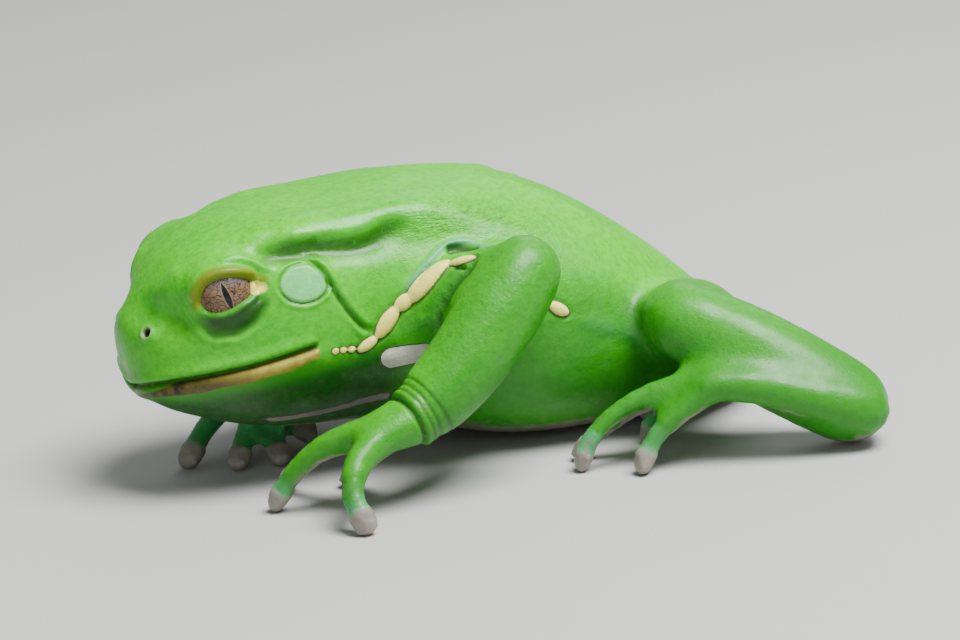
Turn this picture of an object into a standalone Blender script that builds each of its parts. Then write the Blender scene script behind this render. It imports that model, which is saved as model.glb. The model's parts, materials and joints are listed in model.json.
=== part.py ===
"""A waxy monkey tree frog at rest on its belly, life size, as separate closed solids.

The lengths below are in millimetres, and the meshes are in metres with +Z up. The frog faces
-X and its left side is -Y. The origin is on the floor, in the middle of the flat under its
belly. Points of paired features are given for +Y and mirrored.
"""

import math

import bmesh
import bpy
import numpy as np
from mathutils import Vector

MM = 0.001
GAP = 0.3
FLOOR_SINK = 0.35

# The trunk, head and torso in one, as cross-sections from the snout to the vent. Columns: x, top,
# underside, half width, height of the widest line, squareness of the upper and the lower half.
TRUNK = (
    (-47.7, 18.8, 16.8, 1.1, 17.8, 2.0, 2.0),
    (-47.3, 19.7, 14.5, 3.1, 16.6, 2.1, 2.0),
    (-46.6, 20.7, 12.1, 4.8, 15.1, 2.2, 2.1),
    (-45.5, 22.3, 10.6, 6.6, 14.2, 2.3, 2.2),
    (-43.7, 24.6, 9.3, 8.4, 13.9, 2.4, 2.3),
    (-41.2, 26.9, 8.2, 10.1, 13.9, 2.5, 2.3),
    (-37.5, 28.7, 6.8, 11.7, 14.3, 2.6, 2.3),
    (-33.0, 29.5, 5.6, 12.8, 14.8, 2.7, 2.3),
    (-28.0, 30.0, 4.9, 13.4, 15.2, 2.6, 2.2),
    (-22.0, 30.3, 4.4, 13.6, 15.0, 2.5, 2.2),
    (-15.0, 30.6, 2.6, 14.4, 14.2, 2.4, 2.2),
    (-8.0, 30.1, 0.3, 15.8, 12.8, 2.3, 2.3),
    (-2.0, 28.4, -FLOOR_SINK, 16.8, 11.6, 2.2, 2.4),
    (4.0, 25.5, -FLOOR_SINK, 17.0, 10.4, 2.2, 2.4),
    (10.0, 21.3, -FLOOR_SINK, 15.4, 9.2, 2.2, 2.4),
    (15.5, 16.6, 0.3, 12.4, 8.0, 2.2, 2.3),
    (20.0, 12.0, 1.3, 8.8, 6.8, 2.2, 2.2),
    (23.0, 8.8, 2.2, 5.4, 5.6, 2.1, 2.1),
    (24.8, 6.6, 3.2, 2.4, 4.9, 2.0, 2.0),
)
TRUNK_SIDES = 44
HEAD_RINGS = 27
TORSO_RINGS = 20
NECK_X = -24.5

EYE_CENTRE = (-37.7, 7.6, 22.7)
EYE_RADIUS = 3.9
LID_THICKNESS = 0.5
EYE_OPENING = 3.5, 1.85, 23.3
EYE_SLANT = math.radians(3)

MOUTH = (
    (-46.8, 0.0, 11.9),
    (-46.4, 3.2, 12.6),
    (-44.7, 7.0, 13.6),
    (-41.6, 9.7, 14.3),
    (-35.8, 12.1, 15.2),
    (-29.5, 13.2, 16.4),
)
MOUTH_DEPTH = 0.75
MOUTH_FLARE = 0.55
LIP_DROP = 1.25
NOSTRIL = (-46.1, 5.2, 19.0)
NOSTRIL_RADIUS = 0.4
EARDRUM = (-30.0, 12.0, 23.1)
EARDRUM_FACING = (-0.10, 0.93, 0.36)
EARDRUM_RADIUS = 2.35
CREASE_RADIUS = 0.35
BROW_CORNER = ((-44.3, 6.1, 23.3), (-42.6, 6.4, 24.8))
PAROTOID = (
    (-32.5, 8.6, 28.0),
    (-27.0, 9.2, 28.4),
    (-22.0, 9.3, 28.5),
    (-17.0, 9.5, 28.6),
    (-12.5, 9.9, 28.2),
)
PAROTOID_GROOVE = ((-32.6, 9.6, 26.8), (-27.3, 10.6, 26.2), (-18.5, 11.2, 25.7), (-13.6, 10.8, 26.4))
LOREAL_HOLLOW = ((-46.2, 3.6, 21.0), (-45.1, 6.6, 20.9), (-43.3, 8.6, 19.8))
EAR_FOLD = (
    (-30.6, 10.5, 26.1),
    (-28.5, 11.1, 25.4),
    (-27.4, 12.2, 23.1),
    (-26.1, 13.2, 19.7),
    (-23.1, 13.5, 16.5),
)

# Limb segments and digits, from the body outwards. Columns: x, y, z, half width and, where it
# isn't the same, half height. The left ones lie on -Y.
UPPER_ARM = ((-17.0, 9.5, 16.0, 5.0), (-13.0, 14.0, 19.0, 4.8), (-9.0, 17.8, 21.2, 4.0))
FOREARM = {
    "l": (
        (-8.0, 20.0, 22.2, 4.3),
        (-11.3, 21.0, 18.9, 4.7),
        (-16.0, 22.0, 14.2, 4.5),
        (-20.4, 22.4, 10.7, 4.0),
    ),
    "r": (
        (-8.0, 20.0, 22.2, 4.3),
        (-11.5, 20.4, 18.7, 4.7),
        (-16.5, 19.8, 13.6, 4.4),
        (-21.0, 18.2, 9.9, 3.9),
    ),
}
HAND = {
    "l": (
        ((-20.4, 22.5, 9.8, 3.3, 3.2), (-24.5, 22.9, 9.0, 3.7, 2.7), (-27.8, 23.0, 8.3, 3.0, 2.0)),
        ((-27.5, 21.9, 8.4, 1.9), (-31.4, 20.0, 7.5, 1.6), (-34.7, 18.1, 4.9, 1.3), (-36.9, 16.3, 1.0, 1.25)),
        ((-27.5, 24.4, 8.1, 1.9), (-30.7, 26.1, 6.5, 1.7), (-32.2, 28.2, 3.8, 1.4), (-31.6, 30.0, 1.0, 1.4)),
        ((-26.6, 21.2, 7.8, 1.8), (-29.8, 16.6, 6.2, 1.45), (-32.3, 12.8, 3.8, 1.2), (-33.5, 9.8, 0.9, 1.2)),
        ((-24.8, 21.2, 7.4, 1.8), (-25.6, 16.6, 4.4, 1.5), (-27.2, 12.6, 1.0, 1.25)),
    ),
    "r": (
        ((-21.0, 18.3, 9.2, 3.2, 3.1), (-24.8, 15.2, 7.2, 3.5, 2.5), (-27.8, 12.2, 5.4, 3.0, 1.9)),
        ((-27.6, 10.9, 5.3, 1.8), (-30.8, 7.2, 4.3, 1.5), (-33.8, 3.4, 2.8, 1.25), (-35.6, 0.4, 0.9, 1.25)),
        ((-28.4, 13.0, 5.4, 1.8), (-32.6, 10.8, 5.0, 1.6), (-37.1, 7.5, 3.2, 1.35), (-39.8, 4.9, 1.0, 1.4)),
        ((-26.7, 10.4, 5.0, 1.7), (-28.8, 6.0, 3.2, 1.4), (-30.3, 2.2, 1.9, 1.2), (-31.0, -0.6, 0.9, 1.2)),
        ((-25.0, 12.2, 5.2, 1.8), (-25.2, 8.2, 2.8, 1.5), (-25.6, 4.8, 1.0, 1.25)),
    ),
}
THIGH = ((19.0, 7.0, 5.8, 5.3), (13.8, 14.0, 10.8, 5.6), (9.8, 19.6, 13.9, 4.5))
SHANK = ((9.4, 21.2, 14.0, 4.4), (13.8, 24.4, 11.4, 4.9), (18.9, 28.0, 7.9, 5.0), (23.7, 31.0, 4.5, 4.7))
FOOT = (
    (
        (24.3, 34.0, 4.3, 2.9),
        (18.7, 33.2, 6.5, 2.2),
        (13.0, 30.8, 8.3, 2.1),
        (9.0, 28.0, 8.8, 2.9, 1.9),
    ),
    (
        (8.8, 26.9, 8.8, 1.7),
        (2.8, 24.6, 7.5, 1.35),
        (-1.6, 23.7, 5.3, 1.15),
        (-4.0, 23.2, 2.6, 1.1),
        (-4.4, 23.0, 0.9, 1.2),
    ),
    ((8.6, 29.0, 8.2, 1.7), (5.2, 28.0, 6.0, 1.45), (2.0, 27.8, 3.4, 1.2), (0.6, 28.0, 1.0, 1.3)),
    ((8.2, 26.0, 8.0, 1.6), (3.6, 21.8, 5.9, 1.25), (-0.4, 20.0, 3.4, 1.1), (-3.0, 18.9, 0.9, 1.15)),
    ((8.8, 26.2, 7.8, 1.6), (7.4, 21.8, 6.0, 1.3), (6.2, 19.0, 3.2, 1.15), (5.6, 17.6, 0.9, 1.15)),
    ((10.0, 26.6, 7.8, 1.7), (10.0, 20.4, 6.0, 1.4), (9.0, 16.6, 3.2, 1.2), (8.2, 14.2, 0.9, 1.2)),
)
DISC_SPREAD = 1.25

# Sides round each kind of tube, and rings along it.
LIMB_MESH = 14, 8
PALM_MESH = 12, 6
SOLE_MESH = 12, 8
DIGIT_MESH = 9, 8
PIT_MESH = 10, 4
FOLD_MESH = 5, 13
EYE_MESH = 22, 11
# How long the edges may be round the eyes, before and after the mounds rise, at the mouth and nose.
EYE_EDGES = 1.7, 1.5
MOUTH_EDGES = 1.6
NOSTRIL_EDGES = 0.7

# Finishes: base colour, roughness.
GREEN = (0.16, 0.52, 0.04, 1.0), 0.32
IRIS = (0.23, 0.19, 0.15, 1.0), 0.12


def spline(rows, count):
    """A smooth curve through the rows, every column alike, at count even steps along it."""
    rows = np.array(rows, float)
    ends = np.vstack([2 * rows[0] - rows[1], rows, 2 * rows[-1] - rows[-2]])
    t = np.linspace(0, 1, 24, endpoint=False)[:, None]
    spans = []
    for a, b, c, d in zip(ends[:-3], ends[1:-2], ends[2:-1], ends[3:]):
        square = 2 * a - 5 * b + 4 * c - d
        cube = 3 * b - a - 3 * c + d
        spans.append(0.5 * (2 * b + (c - a) * t + square * t**2 + cube * t**3))
    dense = np.vstack([*spans, rows[-1:]])
    along = np.r_[0, np.cumsum(np.linalg.norm(np.diff(dense[:, :3], axis=0), axis=1))]
    places = np.linspace(0, along[-1], count)
    return np.stack([np.interp(places, along, column) for column in dense.T], axis=1)


def material(name, finish):
    """One shared material for each finish."""
    found = bpy.data.materials.get(name)
    if found:
        return found
    colour, roughness = finish
    made = bpy.data.materials.new(name)
    made.use_nodes = True
    shader = made.node_tree.nodes["Principled BSDF"]
    shader.inputs["Base Color"].default_value = colour
    shader.inputs["Roughness"].default_value = roughness
    shader.inputs["Metallic"].default_value = 0.0
    return made


def mesh_object(name, points, faces):
    """A closed mesh object, its points given in millimetres."""
    mesh = bpy.data.meshes.new(name)
    mesh.from_pydata([tuple(p) for p in np.array(points) * MM], [], faces)
    obj = bpy.data.objects.new(name, mesh)
    bpy.context.scene.collection.objects.link(obj)
    with_bmesh(obj, lambda bm: bmesh.ops.recalc_face_normals(bm, faces=bm.faces))
    return obj


def with_bmesh(obj, work):
    """Run work on the object's mesh."""
    bm = bmesh.new()
    bm.from_mesh(obj.data)
    work(bm)
    bm.to_mesh(obj.data)
    bm.free()


def ring_faces(rings, sides):
    """Quads between rings of points, and a fan to a pole at each end. The two poles come last."""
    faces = []
    first, last = rings * sides, rings * sides + 1
    for j in range(sides):
        k = (j + 1) % sides
        for i in range(0, (rings - 1) * sides, sides):
            faces.append((i + j, i + k, i + sides + k, i + sides + j))
        faces.append((k, j, first))
        faces.append(((rings - 1) * sides + j, (rings - 1) * sides + k, last))
    return faces


def tube(name, rows, shape, spread=1.0):
    """A limb segment or digit with round ends, whose last end may spread into a flat disc."""
    sides, rings = shape
    rows = [(*row, row[3]) if len(row) == 4 else row for row in rows]
    path = spline(rows, rings)
    centre, radii = path[:, :3], path[:, 3:5]
    radii[-1] *= (spread, 1.0)
    radii[-2] *= (1 + 0.4 * (spread - 1), 1.0)
    tangent = np.gradient(centre, axis=0)
    tangent /= np.linalg.norm(tangent, axis=1)[:, None]
    stations = list(zip(centre, tangent, radii))
    for angle in (28, 60):
        sink, narrow = math.sin(math.radians(angle)), math.cos(math.radians(angle))
        start = centre[0] - tangent[0] * radii[0].min() * sink
        end = centre[-1] + tangent[-1] * radii[-1].min() * sink
        stations.insert(0, (start, tangent[0], radii[0] * narrow))
        stations.append((end, tangent[-1], radii[-1] * narrow))
    across = np.cross(tangent[0], (0, 0, 1))
    turn = np.linspace(0, 2 * math.pi, sides, endpoint=False)
    points = []
    for place, along, (half_width, half_height) in stations:
        across = across - along * (across @ along)
        across /= np.linalg.norm(across)
        up = np.cross(across, along)
        points.extend(
            place + across * half_width * math.cos(a) + up * half_height * math.sin(a) for a in turn
        )
    points.append(centre[0] - tangent[0] * radii[0].min())
    points.append(centre[-1] + tangent[-1] * radii[-1].min())
    return mesh_object(name, points, ring_faces(len(stations), sides))


def trunk_form():
    """The smooth form of head and torso, before any feature is pressed into it."""
    x = [row[0] for row in TRUNK]
    quarter = np.linspace(math.pi / 2, 0, HEAD_RINGS)
    head_places = NECK_X - (NECK_X - x[0]) * np.sin(quarter) ** 1.25
    places = np.r_[head_places, np.linspace(NECK_X, x[-1], TORSO_RINGS + 1)[1:]]
    dense = spline(TRUNK, 600)
    columns = [np.interp(places, dense[:, 0], dense[:, c]) for c in range(1, 7)]
    turn = np.linspace(0, 2 * math.pi, TRUNK_SIDES, endpoint=False) + math.pi / 2
    points = []
    for place, top, under, half, middle, upper_power, lower_power in zip(places, *columns):
        for a in turn:
            c, s = math.cos(a), math.sin(a)
            power = 2 / (upper_power if s > 0 else lower_power)
            reach = top - middle if s > 0 else middle - under
            y = half * math.copysign(abs(c) ** power, c)
            z = middle + reach * math.copysign(abs(s) ** power, s)
            points.append((place, y, z))
    points.append((x[0] - 0.1, 0, TRUNK[0][4]))
    points.append((x[-1] + 0.5, 0, TRUNK[-1][4]))
    return mesh_object("torso", points, ring_faces(len(places), TRUNK_SIDES))


def distance_to(line, points):
    """Distance of each point, mirrored to +Y, from a polyline or a single point."""
    line = np.atleast_2d(np.array(line, float))
    points = points * np.array((1, 0, 1)) + np.abs(points) * np.array((0, 1, 0))
    if len(line) == 1:
        return np.linalg.norm(points - line[0], axis=1)
    nearest = np.full(len(points), np.inf)
    for a, b in zip(line[:-1], line[1:]):
        t = np.clip((points - a) @ (b - a) / ((b - a) @ (b - a)), 0, 1)
        nearest = np.minimum(nearest, np.linalg.norm(points - a - t[:, None] * (b - a), axis=1))
    return nearest


def bump(distance, reach):
    """1 at the line, easing to 0 at the reach."""
    return np.clip(1 - (distance / reach) ** 2, 0, 1) ** 2


def refine(obj, zones, passes=4):
    """Split edges near each zone's line until they are as short as it asks."""

    def work(bm):
        bmesh.ops.triangulate(bm, faces=bm.faces)
        for _ in range(passes):
            bm.edges.ensure_lookup_table()
            middles = np.array([(e.verts[0].co + e.verts[1].co) / 2 for e in bm.edges]) / MM
            lengths = np.array([e.calc_length() for e in bm.edges]) / MM
            too_long = np.zeros(len(lengths), bool)
            for line, reach, length in zones:
                too_long |= (distance_to(line, middles) < reach) & (lengths > length)
            chosen = [e for e, split in zip(bm.edges, too_long) if split]
            if not chosen:
                break
            bmesh.ops.subdivide_edges(bm, edges=chosen, cuts=1)
            bmesh.ops.triangulate(bm, faces=[f for f in bm.faces if len(f.verts) > 3])

    with_bmesh(obj, work)


def press(obj, depth):
    """Move each vertex along its normal by depth(points), in millimetres."""

    def work(bm):
        bm.normal_update()
        points = np.array([v.co for v in bm.verts]) / MM
        for vert, amount in zip(bm.verts, depth(points)):
            vert.co += vert.normal * float(amount) * MM

    with_bmesh(obj, work)


def raise_eye_mounds(obj):
    """Swell the skin over each eyeball to the outside of its lids."""
    outside = EYE_RADIUS + GAP + LID_THICKNESS
    blend = 0.5

    def work(bm):
        for vert in bm.verts:
            side = math.copysign(1, vert.co.y)
            centre = np.array(EYE_CENTRE) * (1, side, 1)
            offset = np.array(vert.co) / MM - centre
            distance = np.linalg.norm(offset)
            if distance > outside + 3 or offset[1] * side < -2.5:
                continue
            swollen = blend * np.logaddexp(distance / blend, outside / blend)
            new = centre + offset / distance * swollen
            vert.co = [float(c) * MM for c in new]

    with_bmesh(obj, work)


def head_features(points):
    """Ridges, hollows, lips and nostril rims of the head and neck."""
    lip = np.array(MOUTH) - (0, 0, LIP_DROP)
    upper_lip = np.array(MOUTH) + (0, 0, LIP_DROP)
    depth = 1.15 * bump(distance_to(PAROTOID, points), 4.2)
    depth -= 0.8 * bump(distance_to(PAROTOID_GROOVE, points), 2.0)
    depth += 1.0 * bump(distance_to(BROW_CORNER, points), 2.2)
    depth -= 1.1 * bump(distance_to(LOREAL_HOLLOW, points), 2.3)
    depth += 0.4 * bump(distance_to(lip, points), 1.6)
    depth += 0.15 * bump(distance_to(upper_lip, points), 1.4)
    depth += 0.3 * bump(distance_to(NOSTRIL, points) - NOSTRIL_RADIUS, 0.9)
    return depth


def mouth_blade():
    """A wedge that cuts the line of the mouth from corner to corner, shallow at its ends."""
    line = spline(np.vstack([np.array(MOUTH)[:0:-1] * (1, -1, 1), MOUTH]), 29)
    tangent = np.gradient(line, axis=0)
    outward = np.stack([-tangent[:, 1], tangent[:, 0], np.zeros(len(line))], axis=1)
    outward /= np.linalg.norm(outward, axis=1)[:, None]
    points = []
    count = len(line)
    for i, (place, out) in enumerate(zip(line, outward)):
        depth = MOUTH_DEPTH * min(1.0, 0.2 + min(i, count - 1 - i) / 3)
        points += [place - out * depth, place + out + (0, 0, MOUTH_FLARE), place + out - (0, 0, MOUTH_FLARE)]
    faces = [(0, 1, 2), (3 * count - 3, 3 * count - 2, 3 * count - 1)]
    for i in range(0, 3 * count - 3, 3):
        faces += [(i + j, i + (j + 1) % 3, i + 3 + (j + 1) % 3, i + 3 + j) for j in range(3)]
    return mesh_object("cutter", points, faces)


def eardrum_ring(side):
    """A thin ring that cuts the groove round the eardrum."""
    facing = Vector((EARDRUM_FACING[0], EARDRUM_FACING[1] * side, EARDRUM_FACING[2]))
    bpy.ops.mesh.primitive_torus_add(
        major_segments=22,
        minor_segments=5,
        major_radius=EARDRUM_RADIUS * MM,
        minor_radius=CREASE_RADIUS * MM,
        location=[c * MM for c in mirrored([EARDRUM], side)[0]],
        rotation=facing.to_track_quat("Z", "Y").to_euler(),
    )
    return bpy.context.object


def nostril_pit(side):
    """A short round pit that runs back and inwards."""
    x, y, z = NOSTRIL
    mouth = x - 1.5, y + 1.1, z + 0.4, NOSTRIL_RADIUS
    end = x + 0.6, y - 0.4, z - 0.1, 0.3
    rows = [mouth, (x, y, z, NOSTRIL_RADIUS), end]
    return tube("cutter", mirrored(rows, side), PIT_MESH)


def ear_fold(side):
    """A thin cord that cuts the crease over and behind the eardrum."""
    rows = [(*place, CREASE_RADIUS) for place in EAR_FOLD]
    return tube("cutter", mirrored(rows, side), FOLD_MESH)


def trunk():
    """Head and torso in one piece, with every feature."""
    obj = trunk_form()
    eye = (EYE_CENTRE[0], EYE_CENTRE[1] + 3, EYE_CENTRE[2])
    zones = (eye, 5.4, EYE_EDGES[0]), (MOUTH, 1.5, MOUTH_EDGES), (NOSTRIL, 1.2, NOSTRIL_EDGES)
    refine(obj, zones)
    raise_eye_mounds(obj)
    refine(obj, ((eye, 5.4, EYE_EDGES[1]),), passes=2)
    press(obj, head_features)
    cutters = [mouth_blade()]
    for side in (-1, 1):
        cutters += [eardrum_ring(side), nostril_pit(side), ear_fold(side)]
    boolean(obj, cutters, "DIFFERENCE")
    keep_largest(obj)
    return obj


def boolean(target, cutters, operation):
    """Apply one Boolean of the cutters on the target, and remove them."""
    group = bpy.data.collections.new("cutters")
    bpy.context.scene.collection.children.link(group)
    for cutter in cutters:
        for owner in list(cutter.users_collection):
            owner.objects.unlink(cutter)
        group.objects.link(cutter)
    modifier = target.modifiers.new("join", "BOOLEAN")
    modifier.operation = operation
    modifier.operand_type = "COLLECTION"
    modifier.collection = group
    modifier.solver = "EXACT"
    with bpy.context.temp_override(object=target, active_object=target):
        bpy.ops.object.modifier_apply(modifier="join")
    for cutter in cutters:
        bpy.data.objects.remove(cutter)
    bpy.data.collections.remove(group)


def grown_copy(obj, amount=GAP):
    """A copy of the object that is larger by amount all round, to cut a neighbour clear of it."""
    copy = bpy.data.objects.new("cutter", obj.data.copy())
    bpy.context.scene.collection.objects.link(copy)
    press(copy, lambda points: np.full(len(points), amount))
    return copy


def keep_largest(obj):
    """Drop all but the largest closed surface."""

    def work(bm):
        left = set(bm.verts)
        pieces = []
        while left:
            piece = {left.pop()}
            edge = list(piece)
            while edge:
                near = {e.other_vert(v) for v in edge for e in v.link_edges} & left
                left -= near
                piece |= near
                edge = list(near)
            pieces.append(piece)
        pieces.sort(key=len)
        bmesh.ops.delete(bm, geom=[v for piece in pieces[:-1] for v in piece], context="VERTS")

    with_bmesh(obj, work)


def rest_on_floor(obj):
    """Flatten what reaches under the floor, which leaves a small flat on it."""

    def work(bm):
        for vert in bm.verts:
            vert.co.z = max(vert.co.z, 0.0)

    with_bmesh(obj, work)


def cut_at_neck(whole):
    """Part the trunk into head and torso with a gap between them."""
    head = bpy.data.objects.new("head", whole.data.copy())
    bpy.context.scene.collection.objects.link(head)
    for obj, side in ((head, -1), (whole, 1)):

        def work(bm):
            bmesh.ops.bisect_plane(
                bm,
                geom=[*bm.verts, *bm.edges, *bm.faces],
                plane_co=((NECK_X + side * GAP / 2) * MM, 0, 0),
                plane_no=(side, 0, 0),
                clear_inner=True,
            )
            rim = [e for e in bm.edges if e.is_boundary]
            bmesh.ops.triangulate(bm, faces=bmesh.ops.contextual_create(bm, geom=rim)["faces"])

        with_bmesh(obj, work)
    return head


def eye_opening_cutter(side):
    """A lens between the lids, pushed sideways through the skin over the eye."""
    half_length, half_height, z = EYE_OPENING
    steps = 9
    outline = []
    for sign in (1, -1):
        for t in np.linspace(-1, 1, steps, endpoint=False) * sign:
            rise = half_height * sign * (1 - t * t) * (1.0 if sign > 0 else 0.95)
            outline.append((t * half_length, rise))
    points = []
    for y in (EYE_CENTRE[1] + 0.6, EYE_CENTRE[1] + 8):
        for u, v in outline:
            along = u * math.cos(EYE_SLANT) - v * math.sin(EYE_SLANT)
            up = u * math.sin(EYE_SLANT) + v * math.cos(EYE_SLANT)
            points.append((EYE_CENTRE[0] + 0.1 + along, side * y, z + up))
    n = len(outline)
    faces = [tuple(range(n)), tuple(range(n, 2 * n))]
    faces += [(i, (i + 1) % n, n + (i + 1) % n, n + i) for i in range(n)]
    return mesh_object("cutter", points, faces)


def ball(name, side, radius, shape=EYE_MESH):
    """A sphere at an eye's centre, its poles looking out and in."""
    sides, rings = shape
    points = []
    centre = np.array(EYE_CENTRE) * (1, side, 1)
    for lift in np.linspace(math.pi / 2, -math.pi / 2, rings + 2)[1:-1]:
        for turn in np.linspace(0, 2 * math.pi, sides, endpoint=False):
            flat = math.cos(lift)
            out = np.array((flat * math.cos(turn), side * math.sin(lift), flat * math.sin(turn)))
            points.append(centre + radius * out)
    points.append(centre + (0, side * radius, 0))
    points.append(centre - (0, side * radius, 0))
    return mesh_object(name, points, ring_faces(rings, sides))


def finish(obj, name, look):
    """Give the piece its colour and smooth shading."""
    obj.data.materials.clear()
    obj.data.materials.append(material(name, look))
    obj.data.shade_smooth()
    obj.data.set_sharp_from_angle(angle=math.radians(50))


def mirrored(rows, side):
    """Rows of a limb on the chosen side."""
    return [(row[0], row[1] * side, *row[2:]) for row in rows]


def limb(name, rows, side, shape=LIMB_MESH):
    return tube(name, mirrored(rows, side), shape)


def digits_on(palm, digits, side):
    """Join fingers or toes, each with a small disc at its tip, to a palm or sole."""
    made = [tube("digit", mirrored(rows, side), DIGIT_MESH, DISC_SPREAD) for rows in digits]
    boolean(palm, made, "UNION")
    keep_largest(palm)
    rest_on_floor(palm)
    return palm


def clear_of(obj, neighbours):
    """Cut the piece clear of each neighbour, keeping the gap."""
    for neighbour in neighbours:
        boolean(obj, [grown_copy(neighbour)], "DIFFERENCE")
    keep_largest(obj)


def build_limbs(whole, side, mark):
    """One side's arm and leg, each segment cut clear of the one it meets."""
    forearm = limb(f"forearm_{mark}", FOREARM[mark], side)
    upper_arm = limb(f"upper_arm_{mark}", UPPER_ARM, side)
    palm, *fingers = HAND[mark]
    hand = digits_on(limb(f"hand_{mark}", palm, side, PALM_MESH), fingers, side)
    shank = limb(f"shank_{mark}", SHANK, side)
    rest_on_floor(shank)
    thigh = limb(f"thigh_{mark}", THIGH, side)
    rest_on_floor(thigh)
    sole, *toes = FOOT
    foot = digits_on(limb(f"foot_{mark}", sole, side, SOLE_MESH), toes, side)
    clear_of(forearm, [whole])
    clear_of(upper_arm, [whole, forearm])
    clear_of(hand, [forearm])
    clear_of(shank, [whole])
    clear_of(thigh, [whole, shank])
    clear_of(foot, [shank])
    return [upper_arm, forearm, hand, thigh, shank, foot]


def main():
    for obj in list(bpy.data.objects):
        bpy.data.objects.remove(obj)
    smooth_trunk = trunk_form()
    pieces = []
    for side, mark in ((-1, "l"), (1, "r")):
        pieces += build_limbs(smooth_trunk, side, mark)
    bpy.data.objects.remove(smooth_trunk)
    torso = trunk()
    rest_on_floor(torso)
    head = cut_at_neck(torso)
    for side, mark in ((-1, "l"), (1, "r")):
        socket = ball("cutter", side, EYE_RADIUS + GAP)
        boolean(head, [socket, eye_opening_cutter(side)], "DIFFERENCE")
        finish(ball(f"eye_{mark}", side, EYE_RADIUS), "iris", IRIS)
    keep_largest(head)
    for obj in (head, torso, *pieces):
        finish(obj, "skin", GREEN)


if __name__ == "__main__":
    main()
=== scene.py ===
"""A waxy monkey tree frog resting on its belly: its skin, its eyes and the studio round it.

The frog faces -X and its left side is -Y. Lengths are in millimetres, apart from the add-on's
settings, the studio and the materials, which are in metres. Points of paired features are
given for +Y, and both sides take them.
"""

import json
from math import radians

import bpy
import numpy as np
from mathutils import Matrix, Vector

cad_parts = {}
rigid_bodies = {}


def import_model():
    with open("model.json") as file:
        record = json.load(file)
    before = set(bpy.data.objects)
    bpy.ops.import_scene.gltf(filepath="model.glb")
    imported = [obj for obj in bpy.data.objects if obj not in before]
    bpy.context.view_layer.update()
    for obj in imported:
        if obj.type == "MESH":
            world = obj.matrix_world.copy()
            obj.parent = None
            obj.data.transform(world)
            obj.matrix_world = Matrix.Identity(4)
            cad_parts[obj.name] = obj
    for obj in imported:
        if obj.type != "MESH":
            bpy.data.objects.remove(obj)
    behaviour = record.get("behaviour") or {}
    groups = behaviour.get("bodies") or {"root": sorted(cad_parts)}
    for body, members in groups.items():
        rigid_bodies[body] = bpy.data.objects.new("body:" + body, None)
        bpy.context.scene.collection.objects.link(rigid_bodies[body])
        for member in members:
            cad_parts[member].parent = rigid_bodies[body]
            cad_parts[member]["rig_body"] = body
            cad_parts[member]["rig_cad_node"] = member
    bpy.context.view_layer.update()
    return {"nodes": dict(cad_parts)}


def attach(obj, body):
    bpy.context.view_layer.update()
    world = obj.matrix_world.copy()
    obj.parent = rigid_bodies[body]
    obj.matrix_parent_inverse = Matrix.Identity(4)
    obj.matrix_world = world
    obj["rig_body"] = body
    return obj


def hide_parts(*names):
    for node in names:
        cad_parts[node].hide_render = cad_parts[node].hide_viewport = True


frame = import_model()

bl_info = {
    "name": "Waxy Monkey Tree Frog",
    "version": (1, 0, 0),
    "blender": (4, 5, 0),
    "location": "3D Viewport > Sidebar > Frog",
    "description": "Builds the skin and the eyes of a resting tree frog round its solid parts",
    "category": "Add Mesh",
}

MM = 0.001
SIDES = {"l": -1, "r": 1}
PAIRED = "upper_arm", "forearm", "hand", "thigh", "shank", "foot"
FLESH = ["head", "torso"] + [f"{part}_{side}" for part in PAIRED for side in SIDES]

# Closing the flesh: the skin swells over the gaps between the solids, then shrinks again.
SHARP_EDGE = radians(50)
SWELL = 0.25
SHRINK = 0.2
LIMB_ROOTS = (-14.5, 12.0, 18.0), (16.0, 11.0, 9.0)
LIMB_ROOT_REACH = 6.5
JOINTS = (-8.5, 18.9, 21.7), (-20.6, 22.4, 10.2), (-21.0, 18.2, 9.6), (9.6, 20.4, 14.0), (24.0, 32.5, 4.4)
JOINT_REACH = 3.6
NECK_X = -24.5
NECK_WIDTH = 1.6

# The mouth, nostrils and eardrums.
MOUTH = (
    (-46.8, 0.0, 11.9), (-46.4, 3.2, 12.6), (-44.7, 7.0, 13.6),
    (-41.6, 9.7, 14.3), (-35.8, 12.1, 15.2), (-29.5, 13.2, 16.4),
)
MOUTH_DEPTH = 0.8
UPPER_LIP_RISE = 0.28
LOWER_LIP_RISE = 0.34
LIP_HEIGHT = 1.6
LIP_REAR_X = -29.55
MOUTH_TUCK = (-29.6, 13.2, 16.4), (-29.3, 13.2, 17.0), (-29.5, 13.1, 17.7)
NOSTRIL = -46.1, 5.1, 19.0
NOSTRIL_DEPTH = 0.9
NOSTRIL_RIM_RADIUS = 0.8
EARDRUM = -30.0, 12.0, 23.1
EARDRUM_FACING = -0.10, 0.93, 0.36
EARDRUM_SIZE = 2.55, 2.05
EARDRUM_DOME = 0.12
BROW_CORNER = (-44.3, 6.1, 23.3), (-42.6, 6.4, 24.8)
CHEEK_HOLLOW = (-45.4, 5.9, 20.6), (-44.0, 8.0, 20.4), (-42.9, 8.9, 21.4)
EAR_FOLD = (
    (-33.6, 10.2, 25.2), (-32.0, 10.4, 26.0), (-29.6, 10.8, 25.9), (-27.9, 11.8, 24.0),
    (-26.6, 12.9, 21.0), (-24.8, 13.4, 18.0), (-23.0, 13.5, 16.5),
)

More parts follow.
